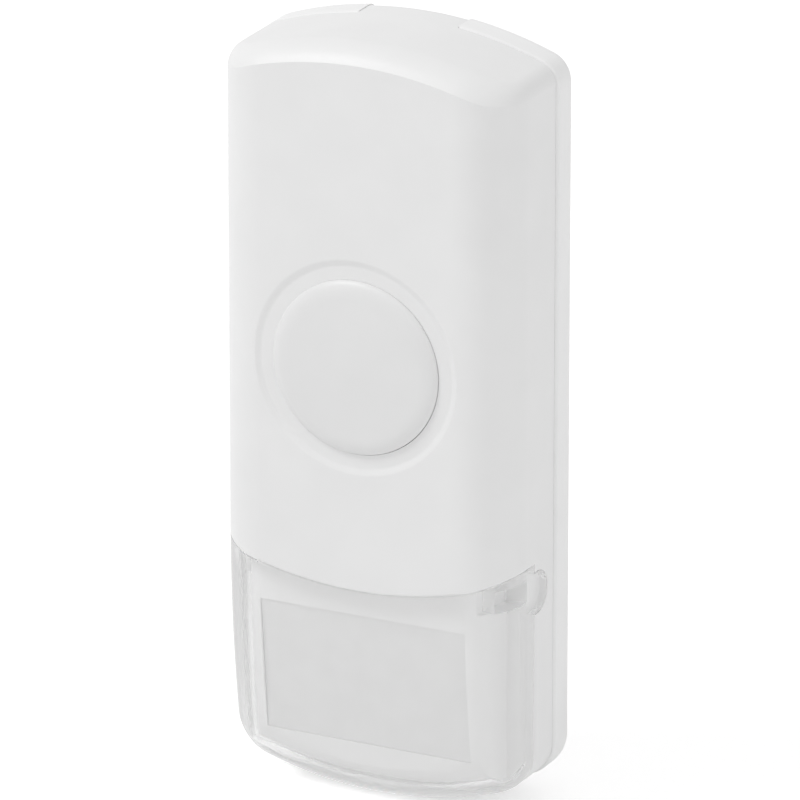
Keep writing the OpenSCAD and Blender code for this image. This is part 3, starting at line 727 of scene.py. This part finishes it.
button = {
    "radius": buttonRadius, "flange": buttonHigh.x, "proud": faceY - buttonLow.y, "inside": 0.01 * mm,
    "crownRadius": 110 * mm, "crownSteps": 12, "edgeWide": 2.3 * mm, "edgeSteps": 20,
    "edgeEnd": dish["depth"] + form["inside"], "wall": 1.4 * mm,
    "hangs": Vector((-0.02, 0, 0.022)) * mm,     # a little to one side in its hole, as such buttons do
    "neck": 0.2 * mm, "flangeFront": 3.0 * mm, "flangeThick": 1.0 * mm,
    "post": 2.4 * mm, "rear": buttonHigh.y - faceY, "soft": 0.15 * mm, "turns": 256,
}


def buttonProfile():
    b = button
    flat = b["radius"] - b["edgeWide"]
    top = -b["proud"] + b["inside"]
    profile = [(r, top + r ** 2 / (2 * b["crownRadius"])) for r in steps(0, flat, b["crownSteps"])]
    shoulder = profile[-1][1]
    edgeDeep = b["edgeEnd"] - shoulder
    for angle in steps(0, math.pi / 2, b["edgeSteps"])[1:]:
        profile.append((flat + b["edgeWide"] * math.sin(angle), shoulder + edgeDeep * (1 - math.cos(angle))))
    under = b["wall"] - b["proud"]
    rear = b["flangeFront"] + b["flangeThick"]
    inner = b["radius"] - b["wall"]
    back = [(b["radius"], b["flangeFront"] - b["neck"]), (b["radius"], b["flangeFront"]),
            (b["flange"], b["flangeFront"]), (b["flange"], rear), (inner, rear), (inner, under),
            (b["post"], under), (b["post"], b["rear"]), (0.0, b["rear"])]
    return profile + roundCorners(back, b["soft"])


cap = lathe("button_cap", buttonProfile(), buttonMiddle + button["hangs"], buttonAbs, button["turns"])
placePiece(cap, "button", "button_abs", "push_button")

# Label card, drawn out to the walls of its recess

card = {"room": 0.18 * mm, "belowBend": 15.2 * mm, "bedRadius": 148.3 * mm, "edge": 0.08 * mm}
cardTilt = math.asin(card["belowBend"] / card["bedRadius"])
nameCard = packedCopy("label_card", "name_card", cardPaper)
cardMiddle = middleOf("label_card")
cardUp = Vector((0, -math.sin(cardTilt), math.cos(cardTilt)))
for vertex in nameCard.data.vertices:
    way = vertex.co - cardMiddle
    vertex.co.x += math.copysign(card["room"], way.x)
    vertex.co += cardUp * math.copysign(card["room"], way.dot(cardUp))
soften(nameCard, card["edge"])
placePiece(nameCard, "front_unit", "label_paper", "label_card")
print("shells made:", len(pieces))

# Turned parts

boardLow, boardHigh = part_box("circuit_board")


def turned(node, piece, corners, reach, body="front_unit", slot=None, ahead=(), **options):
    # corners of the section, counted from the front or, lengthwise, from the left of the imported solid's box
    place = middleOf(node)
    axis = 0 if options.get("lengthwise") else 1
    place[axis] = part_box(node)[0][axis]
    made = lathe(piece, list(ahead) + roundCorners(corners, reach), place, nodeMaterials[node], **options)
    placePiece(made, body, slot, node)
    return made


sealLow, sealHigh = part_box("button_seal")
seal = {"outer": sealHigh.x, "inner": sealHigh.x - 0.95 * mm, "thick": sealHigh.y - sealLow.y,
        "soft": 0.3 * mm}
sealMiddle = ((seal["outer"] + seal["inner"]) / 2, 0.0)
turned("button_seal", "seal_ring", [
    sealMiddle, (seal["outer"], 0.0), (seal["outer"], seal["thick"]), (seal["inner"], seal["thick"]),
    (seal["inner"], 0.0), sealMiddle], seal["soft"], slot="seal_rubber")

plungerLow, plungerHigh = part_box("switch_plunger")
plunger = {"radius": plungerHigh.x, "tall": plungerHigh.y - plungerLow.y, "soft": 0.3 * mm, "turns": 48}
turned("switch_plunger", "switch_cap", [
    (0.0, 0.0), (plunger["radius"], 0.0), (plunger["radius"], plunger["tall"]), (0.0, plunger["tall"])],
    plunger["soft"], body="plunger", slot="black_moulding", turns=plunger["turns"])

ledLow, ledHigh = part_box("status_led")
led = {"dome": 1.5 * mm, "domeSteps": 10, "rim": (ledHigh.x - ledLow.x) / 2, "rimThick": 0.8 * mm,
       "tall": ledHigh.y - ledLow.y, "soft": 0.12 * mm, "turns": 48}
domeTop = [(led["dome"] * math.sin(turn), led["dome"] * (1 - math.cos(turn)))
           for turn in steps(0, math.pi / 2, led["domeSteps"])]
rimFront = led["tall"] - led["rimThick"]
turned("status_led", "led_dome", [
    domeTop[-1], (led["dome"], rimFront), (led["rim"], rimFront), (led["rim"], led["tall"]),
    (0.0, led["tall"])], led["soft"], slot="led_lens", ahead=domeTop[:-1], turns=led["turns"])

canLow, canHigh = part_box("saw_resonator")
can = {"brim": (canHigh.x - canLow.x) / 2, "step": 0.5 * mm, "tall": canHigh.y - canLow.y, "soft": 0.4 * mm}
canRadius, brimFront = can["brim"] - can["step"], can["tall"] - can["step"]
turned("saw_resonator", "resonator_can", [
    (0.0, 0.0), (canRadius, 0.0), (canRadius, brimFront), (can["brim"], brimFront),
    (can["brim"], can["tall"]), (0.0, can["tall"])], can["soft"], slot="nickel_can")

cellLow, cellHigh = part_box("battery")
cell = {"radius": (cellHigh.z - cellLow.z) / 2, "long": cellHigh.x - cellLow.x,
        "open": 4.2 * mm, "sunk": 0.25 * mm, "endFacing": 0.9,
        "crimpAt": 2.0 * mm, "crimpWide": 0.5 * mm, "crimpDeep": 0.3 * mm, "soft": 0.5 * mm}
crimp = cell["long"] - cell["crimpAt"]
crimpRadius = cell["radius"] - cell["crimpDeep"]
sunkEnd = cell["long"] - cell["sunk"]
sleeve = turned("battery", "cell_sleeve", [
    (0.0, cell["sunk"]), (cell["open"], cell["sunk"]), (cell["open"], 0.0), (cell["radius"], 0.0),
    (cell["radius"], crimp - cell["crimpWide"]), (crimpRadius, crimp),
    (cell["radius"], crimp + cell["crimpWide"]), (cell["radius"], cell["long"]), (cell["open"], cell["long"]),
    (cell["open"], sunkEnd), (0.0, sunkEnd)], cell["soft"], slot="battery_sleeve", lengthwise=True)
sleeve.data.materials.append(nickelCan)     # the can's bare ends
cellMiddle = middleOf("battery")
for face in sleeve.data.polygons:
    across = face.center - cellMiddle
    if math.hypot(across.y, across.z) < cell["open"] and abs(face.normal.x) > cell["endFacing"]:
        face.material_index = 1

capLow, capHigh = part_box("battery_cap")
cellCap = {"radius": (capHigh.z - capLow.z) / 2, "long": capHigh.x - capLow.x, "soft": 0.4 * mm, "turns": 64}
turned("battery_cap", "cell_cap", [
    (0.0, -cell["sunk"]), (cellCap["radius"], -cell["sunk"]), (cellCap["radius"], cellCap["long"]),
    (0.0, cellCap["long"])], cellCap["soft"], slot="brass_cap", lengthwise=True, turns=cellCap["turns"])

# Moulded and bent parts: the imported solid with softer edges

softParts = {
    "switch_body": ("switch_case", 0.15 * mm, "black_moulding"),
    "switch_plate": ("switch_cover", 0.07 * mm, "tinned_sheet"),
    "encoder_chip": ("coder_chip", 0.12 * mm, "chip_epoxy"),
    "trim_capacitor": ("trimmer", 0.1 * mm, "trimmer_ceramic"),
    "contact_plus": ("spring_plus", 0.06 * mm, "contact_sheet"),
    "contact_minus": ("spring_minus", 0.06 * mm, "contact_sheet"),
}
dimple = {"in": 1.0 * mm, "radius": 0.45 * mm, "deep": 0.12 * mm, "turns": 32}
for node, (piece, edge, slot) in softParts.items():
    made = softCopy(node, piece, edge)
    if node == "encoder_chip":     # the moulded mark beside its first pin
        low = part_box(node)[0]
        spot = Vector((low.x + dimple["in"], low.y, low.z + dimple["in"]))
        mark = [(0.0, -dimple["deep"]), (dimple["radius"], -dimple["deep"]),
                (dimple["radius"], dimple["deep"]), (0.0, dimple["deep"])]
        carve(made, lathe("dimple", mark, spot, chipEpoxy, dimple["turns"]), "DIFFERENCE")
        evenNormals(made)
    placePiece(made, "front_unit", slot, node)

transistorLow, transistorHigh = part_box("rf_transistor")
transistor = {"bodyTall": 1.3 * mm, "lift": 0.1 * mm, "edge": 0.08 * mm,
              "leadWide": 0.4 * mm, "leadLong": 0.7 * mm, "leadThick": 0.4 * mm,
              "leads": ((-0.95 * mm, -1), (0.95 * mm, -1), (0.0, 1))}


def transistorLeads():
    boxes = []
    middle = middleOf("rf_transistor")
    for across, side in transistor["leads"]:
        tip = transistorHigh.z if side > 0 else transistorLow.z
        ends = sorted((tip, tip - side * transistor["leadLong"]))
        half = transistor["leadWide"] / 2
        boxes.append(((middle.x + across - half, boardLow.y - transistor["leadThick"], ends[0]),
                      (middle.x + across + half, boardLow.y, ends[1])))
    return softBoxes("transistor_leads", boxes, transistor["edge"], tinnedSheet)


halfTall = transistor["bodyTall"] / 2
transistorZ = middleOf("rf_transistor").z
transistorBox = ((transistorLow.x, transistorLow.y, transistorZ - halfTall),
                 (transistorHigh.x, boardLow.y - transistor["lift"], transistorZ + halfTall))
transistorBody = softBoxes("transistor_body", [transistorBox], transistor["edge"], chipEpoxy)
placePiece(transistorBody, "front_unit", "chip_epoxy", "rf_transistor")
placePiece(transistorLeads(), "front_unit", "tinned_sheet")

# Parts that repeat on the board

def repeatTree():
    tree = bpy.data.node_groups.new("repeat_unit", "GeometryNodeTree")
    sockets = {"Places": "NodeSocketGeometry", "Unit": "NodeSocketObject", "Board Face": "NodeSocketFloat",
               "Finish": "NodeSocketMaterial"}
    for name, kind in sockets.items():
        tree.interface.new_socket(name, in_out="INPUT", socket_type=kind)
    tree.interface.new_socket("Result", in_out="OUTPUT", socket_type="NodeSocketGeometry")
    given = addNode(tree, "NodeGroupInput").outputs
    unit = addNode(tree, "GeometryNodeObjectInfo", {"Object": given["Unit"]})
    turn = addNode(tree, "GeometryNodeInputNamedAttribute", {"Name": "turn"}, data_type="FLOAT")
    spin = addNode(tree, "ShaderNodeCombineXYZ", {"Y": turn.outputs["Attribute"]})
    back = addNode(tree, "ShaderNodeCombineXYZ", {"Y": given["Board Face"]})
    onBoard = addNode(tree, "GeometryNodeSetPosition", {
        "Geometry": given["Places"], "Offset": back.outputs[0]})
    placed = addNode(tree, "GeometryNodeInstanceOnPoints", {
        "Points": onBoard.outputs[0], "Instance": unit.outputs["Geometry"], "Rotation": spin.outputs[0]})
    real = addNode(tree, "GeometryNodeRealizeInstances", {"Geometry": placed.outputs[0]})
    coated = addNode(tree, "GeometryNodeSetMaterial", {
        "Geometry": real.outputs[0], "Material": given["Finish"]})
    addNode(tree, "NodeGroupOutput", {"Result": coated.outputs[0]})
    return tree


repeatGroup = repeatTree()


def repeat(name, unit, places, boardFace, material):
    # places: across, up and a turn about the way through the board
    mesh = bpy.data.meshes.new(name)
    mesh.from_pydata([(x, 0.0, z) for x, z, turn in places], [], [])
    mesh.attributes.new("turn", "FLOAT", "POINT").data.foreach_set("value", [turn for x, z, turn in places])
    made = bpy.data.objects.new(name, mesh)
    scene.collection.objects.link(made)
    modifier = made.modifiers.new("repeat", "NODES")
    modifier.node_group = repeatGroup
    keys = {item.name: item.identifier for item in repeatGroup.interface.items_tree if item.in_out == "INPUT"}
    modifier[keys["Unit"]] = unit
    modifier[keys["Board Face"]] = boardFace
    modifier[keys["Finish"]] = material
    settle(made)
    bpy.data.objects.remove(unit)
    tidyFaces(made, meshing["softSharp"])
    evenNormals(made)
    return made


def solidBoxes(node):
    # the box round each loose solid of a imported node
    work = loadMesh(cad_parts[node].data, meshing["joinPacked"])
    boxes, left = [], set(work.verts)
    while left:
        waiting, group = [left.pop()], []
        while waiting:
            point = waiting.pop()
            group.append(point.co.copy())
            near = {edge.other_vert(point) for edge in point.link_edges} & left
            left -= near
            waiting += near
        boxes.append([Vector([pick(co[axis] for co in group) for axis in range(3)]) for pick in (min, max)])
    work.free()
    return sorted(boxes, key=lambda box: (box[0].x, box[0].z))


def strip(name, path, wide, thick, material):
    # a bent strip of sheet; path in depth and height
    loops = []
    for i in range(len(path)):
        before, after = Vector(path[max(i - 1, 0)]), Vector(path[min(i + 1, len(path) - 1)])
        way = (after - before).normalized() * thick / 2
        depth, up = path[i]
        outer, inner = (depth - way.y, up + way.x), (depth + way.y, up - way.x)
        loops.append([(-wide / 2, *outer), (wide / 2, *outer), (wide / 2, *inner), (-wide / 2, *inner)])
    return loftLoops(name, loops, material)


pin = {"wide": 0.42 * mm, "thick": 0.25 * mm, "root": 1.85 * mm, "knee": 2.425 * mm, "tip": 3.1 * mm,
       "rise": 0.875 * mm, "bend": 0.2 * mm}
pinPath = [(-pin["rise"], pin["root"]), (-pin["rise"], pin["knee"]), (-pin["thick"] / 2, pin["knee"]),
           (-pin["thick"] / 2, pin["tip"])]
pinUnit = strip("pin", roundCorners(pinPath, pin["bend"]), pin["wide"], pin["thick"], tinnedSheet)
chipZ = middleOf("encoder_chip").z
pinPlaces = []
for low, high in solidBoxes("chip_pins"):
    turn = 0.0 if low.z > chipZ else math.pi
    pinPlaces.append(((low.x + high.x) / 2, chipZ, turn))
pins = repeat("coder_pins", pinUnit, pinPlaces, boardLow.y, tinnedSheet)
placePiece(pins, "front_unit", "tinned_sheet", "chip_pins")

chip = {"half": 1.0 * mm, "halfTall": 0.625 * mm, "end": 0.3 * mm, "inset": 0.03 * mm, "bodyEdge": 0.04 * mm,
        "endEdge": 0.08 * mm}
for node, piece, material, slot in (("chip_resistors", "resistor", chipEpoxy, "chip_epoxy"),
                                    ("chip_capacitors", "capacitor", chipCeramic, "chip_ceramic")):
    boxes = solidBoxes(node)
    thick = boxes[0][1].y - boxes[0][0].y
    places = []
    for low, high in boxes:
        turn = 0.0 if high.x - low.x > high.z - low.z else math.pi / 2
        places.append(((low.x + high.x) / 2, (low.z + high.z) / 2, turn))
    bodyHalf, bodyTall = chip["half"] - chip["end"] / 2, chip["halfTall"] - chip["inset"]
    bodyBox = ((-bodyHalf, chip["inset"] - thick, -bodyTall), (bodyHalf, -chip["inset"], bodyTall))
    body = softBoxes("chip_body", [bodyBox], chip["bodyEdge"], material)
    placePiece(repeat(piece + "_bodies", body, places, boardLow.y, material), "front_unit", slot, node)
    inner = chip["half"] - chip["end"]
    ends = [((-chip["half"], -thick, -chip["halfTall"]), (-inner, 0.0, chip["halfTall"])),
            ((inner, -thick, -chip["halfTall"]), (chip["half"], 0.0, chip["halfTall"]))]
    caps = softBoxes("chip_ends", ends, chip["endEdge"], tinnedSheet)
    placePiece(repeat(piece + "_ends", caps, places, boardLow.y, tinnedSheet), "front_unit", "tinned_sheet")

screwBoxes = solidBoxes("board_screws")
screwLow, screwHigh = screwBoxes[0]
screw = {
    "head": (screwHigh.x - screwLow.x) / 2, "headTall": screwHigh.y - boardHigh.y, "headEdge": 0.5 * mm,
    "domeSteps": 10, "tip": screwLow.y - boardHigh.y, "tipRadius": 0.4 * mm, "tipLong": 0.9 * mm,
    "crest": 0.95 * mm, "root": 0.72 * mm, "pitch": 0.65 * mm, "plain": 1.5 * mm,
    "crossHalf": 1.2 * mm, "crossWide": 0.25 * mm, "crossDeep": 0.65 * mm, "turns": 48,
}


def screwUnit():
    # ridged shank and a domed head with a cross in it
    s = screw
    profile = [(0.0, s["tip"]), (s["tipRadius"], s["tip"])]
    far = s["tip"] + s["tipLong"]
    while far < -s["plain"]:
        profile += [(s["root"], far), (s["crest"], far + s["pitch"] / 2)]
        far += s["pitch"]
    profile += [(s["root"], far), (s["crest"], far + s["pitch"]), (s["crest"], 0.0), (s["head"], 0.0)]
    dome = s["headTall"] - s["headEdge"]
    profile += [(s["head"] * math.cos(turn), s["headEdge"] + dome * math.sin(turn))
                for turn in steps(0, math.pi / 2, s["domeSteps"])]
    made = lathe("screw", profile, Vector((0, 0, 0)), screwZinc, s["turns"])
    long, wide = s["crossHalf"], s["crossWide"]
    floor, above = s["headTall"] - s["crossDeep"], s["headTall"] + s["crossDeep"]
    for x, z in ((long, wide), (wide, long)):
        carve(made, plainBoxes("slot", [((-x, floor, -z), (x, above, z))], screwZinc), "DIFFERENCE")
    return made


screwPlaces = [((low.x + high.x) / 2, (low.z + high.z) / 2, 0.0) for low, high in screwBoxes]
screws = repeat("screws", screwUnit(), screwPlaces, boardHigh.y, screwZinc)
placePiece(screws, "front_unit", "screw_steel", "board_screws")

# where leads come through the board, from the middle of each part, in millimetres
leadsOf = {
    "switch_body": ((-3.25, -2.25), (-3.25, 2.25), (3.25, -2.25), (3.25, 2.25)),
    "status_led": ((-1.27, 0), (1.27, 0)), "saw_resonator": ((-2, 0), (2, 0)),
    "trim_capacitor": ((-1.6, 0), (1.6, 0)),
    "contact_plus": ((-1.7, -5.2),), "contact_minus": ((1.7, -5.2),),
}
# a drop of solder that has crept up the lead
joint = {"turns": 32, "profile": [
    (0.0, 0.0), (0.9 * mm, 0.0), (0.62 * mm, 0.12 * mm), (0.42 * mm, 0.32 * mm), (0.32 * mm, 0.55 * mm),
    (0.22 * mm, 0.7 * mm), (0.0, 0.75 * mm)]}
jointPlaces = []
for node, offsets in leadsOf.items():
    middle = middleOf(node)
    jointPlaces += [(middle.x + x * mm, middle.z + z * mm, 0.0) for x, z in offsets]
jointUnit = lathe("joint", joint["profile"], Vector((0, 0, 0)), solder, joint["turns"])
joints = repeat("solder_joints", jointUnit, jointPlaces, boardHigh.y, solder)
placePiece(joints, "front_unit", "tinned_sheet")
print("board parts made, pieces in all:", len(pieces))
for made in pieces:
    if openEdges(made):
        print(made.name, "has open edges:", openEdges(made))

# Floor, light and camera

stand = {"floorZ": -45.7 * mm, "floorSize": 6.0, "colour": "#F0F0F0", "glow": 0.42}
lights = {
    "world": 0.635,
    "key": {"from": (-0.45, -0.4, 0.735), "size": 0.32, "power": 3.05},
    "fill": {"from": (0.85, -0.22, 0.1), "size": 0.5, "power": 0.92},
}
shot = {"lens": 440, "sensor": 36, "nearest": 0.01, "azimuth": 26.43, "elevation": 20.02,
        "distance": 1096.6 * mm, "right": 1.02 * mm, "up": 1.18 * mm, "middle": (0, -9 * mm, 0)}


def seenRays(tree):
    # what the eye meets straight on, as a reflection or through the window
    path = addNode(tree, "ShaderNodeLightPath").outputs
    seen = path["Is Camera Ray"]
    for kind in ("Is Glossy Ray", "Is Transmission Ray"):
        seen = combine(tree, "MAXIMUM", seen, path[kind])
    return seen


def makeFloor():
    half = stand["floorSize"] / 2
    corners = [(-half, -half), (half, -half), (half, half), (-half, half)]
    material, tree, shader = newMaterial("floor_matt_white", Roughness=0.9)[:3]
    shader.inputs["Base Color"].default_value = hexColour(stand["colour"])
    # the floor looks white, but throws no more light on the part
    glow = combine(tree, "MULTIPLY", seenRays(tree), stand["glow"])
    lift = addNode(tree, "ShaderNodeEmission", {"Strength": glow})
    both = addNode(tree, "ShaderNodeAddShader", {0: shader.outputs[0], 1: lift.outputs[0]})
    tree.links.new(both.outputs[0], tree.nodes["Material Output"].inputs["Surface"])
    floor = newObject("floor", [(x, y, stand["floorZ"]) for x, y in corners], [(0, 1, 2, 3)], material)


def makeWorld():
    world = bpy.data.worlds.new("studio")
    world.use_nodes = True
    tree = world.node_tree
    tree.nodes.clear()
    level = mapRange(tree, seenRays(tree), wanted=(lights["world"], 1.0))
    back = addNode(tree, "ShaderNodeBackground", {"Color": (1, 1, 1, 1), "Strength": level})
    addNode(tree, "ShaderNodeOutputWorld", {"Surface": back.outputs[0]})
    scene.world = world


def makeLamp(name, plan):
    lamp = bpy.data.lights.new(name, "AREA")
    lamp.shape = "DISK"
    lamp.size = plan["size"]
    lamp.energy = plan["power"]
    made = bpy.data.objects.new(name, lamp)
    made.location = plan["from"]
    made.rotation_euler = (-Vector(plan["from"])).to_track_quat("-Z", "Y").to_euler()
    scene.collection.objects.link(made)


def makeCamera():
    azimuth, elevation = math.radians(shot["azimuth"]), math.radians(shot["elevation"])
    back = Vector((math.sin(azimuth) * math.cos(elevation), -math.cos(azimuth) * math.cos(elevation),
                   math.sin(elevation)))
    right = Vector((math.cos(azimuth), math.sin(azimuth), 0))
    up = back.cross(right)
    aim = Vector(shot["middle"]) + shot["right"] * right + shot["up"] * up
    camera = bpy.data.cameras.new("camera")
    camera.lens = shot["lens"]
    camera.sensor_width = shot["sensor"]
    camera.clip_start = shot["nearest"]
    made = bpy.data.objects.new("camera", camera)
    facing = Matrix((right, up, back)).transposed().to_4x4()
    made.matrix_world = Matrix.Translation(aim + back * shot["distance"]) @ facing
    scene.collection.objects.link(made)
    scene.camera = made


makeFloor()
makeWorld()
makeLamp("key", lights["key"])
makeLamp("fill", lights["fill"])
makeCamera()
scene.view_settings.view_transform = "Standard"
print("stage set")
